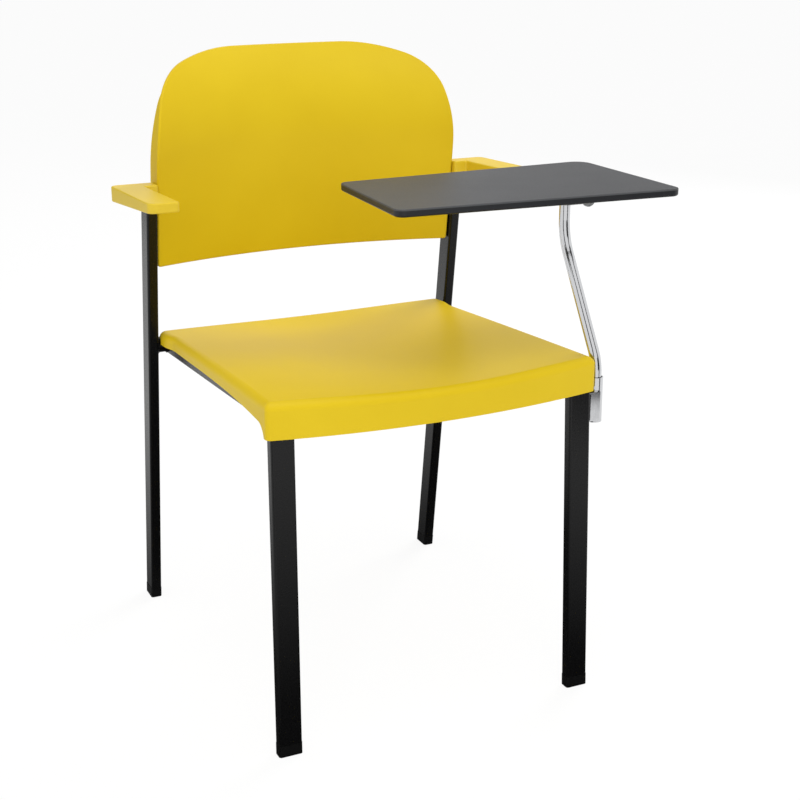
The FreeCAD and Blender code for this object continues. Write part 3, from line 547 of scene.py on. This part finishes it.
def middle(node):
    low, high = (Vector(corner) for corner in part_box(node))
    return low, high, (low + high) / 2


def weldFrame():
    sheet = bmesh.new()
    rearLow, rearHigh, rearMiddle = middle("rear_cross_tube")
    frontLow, frontHigh, frontMiddle = middle("front_cross_tube")
    inset = bead["radius"] * bead["sinkShare"]
    for low, high, centre in ((rearLow, rearHigh, rearMiddle), (frontLow, frontHigh, frontMiddle)):
        radius = (high.z - low.z) / 2 + inset
        for x in (low.x + inset, high.x - inset):
            weldBead(sheet, tubeRing(x, centre, radius), True)
    rearRadius = (rearHigh.z - rearLow.z) / 2 + inset
    for side in ("right", "left"):
        railLow, railHigh, railMiddle = middle("side_rail_" + side)
        for x in (railLow.x - inset, railHigh.x + inset):
            weldBead(sheet, copeArc(x, rearMiddle, rearRadius))
        frontZ = railHigh.z - tubeJoints["railTall"] / 2
        weldBead(sheet, railFrame(railMiddle.x, railLow.y + inset, frontZ), True)
        for row in ("front", "rear"):
            tabLow, tabHigh, tabMiddle = middle("seat_tab_" + row + "_" + side)
            x = tabLow.x if side == "right" else tabHigh.x
            margin = bead["radius"] * bead["marginShare"]
            weldBead(sheet, [(x, tabLow.y + margin, tabLow.z), (x, tabHigh.y - margin, tabLow.z)])
    addPiece("frameWelds", sheet, "frame", "black_tube")


def weldSleeve():
    # Two runs that hold the sleeve's pad to the left front leg
    sheet = bmesh.new()
    padLow, padHigh, padMiddle = middle("sleeve_pad")
    x = padLow.x + (padHigh.x - padLow.x) * bead["padShare"]
    for y in (padLow.y, padHigh.y):
        weldBead(sheet, [(x, y, padLow.z + bead["radius"]), (x, y, padHigh.z - bead["radius"])])
    addPiece("sleeveWelds", sheet, "frame", "black_tube")


weldFrame()
weldSleeve()
print("weld beads made")


# Floor, world, lamps and camera

def turnTowards(place, aim):
    return (Vector(aim) - Vector(place)).to_track_quat("-Z", "Y").to_euler()


def seenRay(bench):
    # 1 where the eye, a mirror or a glass looks, 0 where light falls
    path = bench.tree.nodes.new("ShaderNodeLightPath")
    rays = [Signal(bench, path.outputs[name]) for name in
            ("Is Camera Ray", "Is Glossy Ray", "Is Transmission Ray")]
    return bench.add("ShaderNodeClamp", None, {"Value": rays[0] + rays[1] + rays[2]})


def layFloor():
    sheet = bmesh.new()
    bmesh.ops.create_grid(sheet, x_segments=2, y_segments=2, size=studio["floorWidth"] / 2,
                          matrix=Matrix.Translation((0.0, 0.0, -studio["floorDrop"])))
    material, bench = newFinish("floorPaint")
    paint = bench.add("ShaderNodeBsdfDiffuse", None, {"Color": studio["floorColour"]})
    glow = bench.add("ShaderNodeEmission", None, {"Color": white, "Strength": 1.0})
    share = seenRay(bench) * studio["floorGlow"]
    shader = bench.add("ShaderNodeMixShader", None, {0: share, 1: paint, 2: glow})
    bench.add("ShaderNodeOutputMaterial", None, {"Surface": shader})
    makeObject("floor", sheet, material)


def stageReflected(name, sheet, material):
    # A piece of the studio that only reflections see
    piece = makeObject(name, sheet, material)
    piece.visible_camera = False
    piece.visible_diffuse = False
    piece.visible_shadow = False
    piece.visible_transmission = False


def setFlag(name, flag):
    # Upright card that faces the chair
    turn = math.radians(flag["bearing"])
    half = flag["away"] * math.tan(math.radians(flag["span"] / 2))
    outward = Vector((math.sin(turn), -math.cos(turn), 0.0))
    sideways = Vector((math.cos(turn), math.sin(turn), 0.0))
    sheet = bmesh.new()
    foot = Vector((*flag["at"], 0.0)) + outward * flag["away"]
    low, high = flag["low"], flag["high"]
    corners = [foot + sideways * (half * side) + Vector((0.0, 0.0, height))
               for side, height in ((-1, low), (1, low), (1, high), (-1, high))]
    sheet.faces.new([sheet.verts.new(corner) for corner in corners])
    material, bench = newFinish(name + "Cloth")
    cloth = bench.add("ShaderNodeEmission", None, {"Color": white, "Strength": flag["shade"]})
    bench.add("ShaderNodeOutputMaterial", None, {"Surface": cloth})
    stageReflected(name, sheet, material)


def layMat():
    # Dark round mat that fades out, just above the floor
    sheet = bmesh.new()
    bmesh.ops.create_circle(sheet, cap_ends=True, segments=mat["segments"], radius=mat["clear"],
                            matrix=Matrix.Translation((*mat["place"], mat["lift"])))
    material, bench = newFinish("matCloth")
    sockets = {0: bench.place(), 1: (*mat["place"], 0.0)}
    reach = bench.add("ShaderNodeVectorMath", {"operation": "DISTANCE"}, sockets, "Value")
    share = bench.clamp(reach, mat["dark"], mat["clear"])
    dark = bench.add("ShaderNodeEmission", None, {"Color": white, "Strength": mat["shade"]})
    bare = bench.add("ShaderNodeBsdfTransparent")
    shader = bench.add("ShaderNodeMixShader", None, {0: share, 1: dark, 2: bare})
    bench.add("ShaderNodeOutputMaterial", None, {"Surface": shader})
    stageReflected("mat", sheet, material)


def lightRoom():
    world = bpy.data.worlds.new("room")
    world.use_nodes = True
    bpy.context.scene.world = world
    bench = Bench(world.node_tree)
    strength = seenRay(bench) * (studio["backdrop"] - studio["roomLight"]) + studio["roomLight"]
    sky = bench.add("ShaderNodeBackground", None, {"Color": white, "Strength": strength})
    bench.add("ShaderNodeOutputWorld", None, {"Surface": sky})
    for name, lamp in lamps.items():
        data = bpy.data.lights.new(name, "AREA")
        data.size = lamp["width"]
        data.energy = lamp["power"]
        light = bpy.data.objects.new(name, data)
        light.location = lamp["place"]
        light.rotation_euler = turnTowards(lamp["place"], lampAim)
        light.visible_glossy = lamp["glint"]
        bpy.context.scene.collection.objects.link(light)


def placeCamera():
    data = bpy.data.cameras.new("photoCamera")
    data.lens = camera["lens"]
    data.sensor_width = camera["sensor"]
    data.clip_end = camera["reach"]
    eye = bpy.data.objects.new("photoCamera", data)
    eye.location = camera["place"]
    eye.rotation_euler = (math.radians(camera["tilt"]), 0.0, math.radians(camera["heading"]))
    bpy.context.scene.collection.objects.link(eye)
    bpy.context.scene.camera = eye


layFloor()
for name, flag in flags.items():
    setFlag(name, flag)
layMat()
lightRoom()
placeCamera()
bpy.context.scene.view_settings.view_transform = "Standard"
print("studio ready")
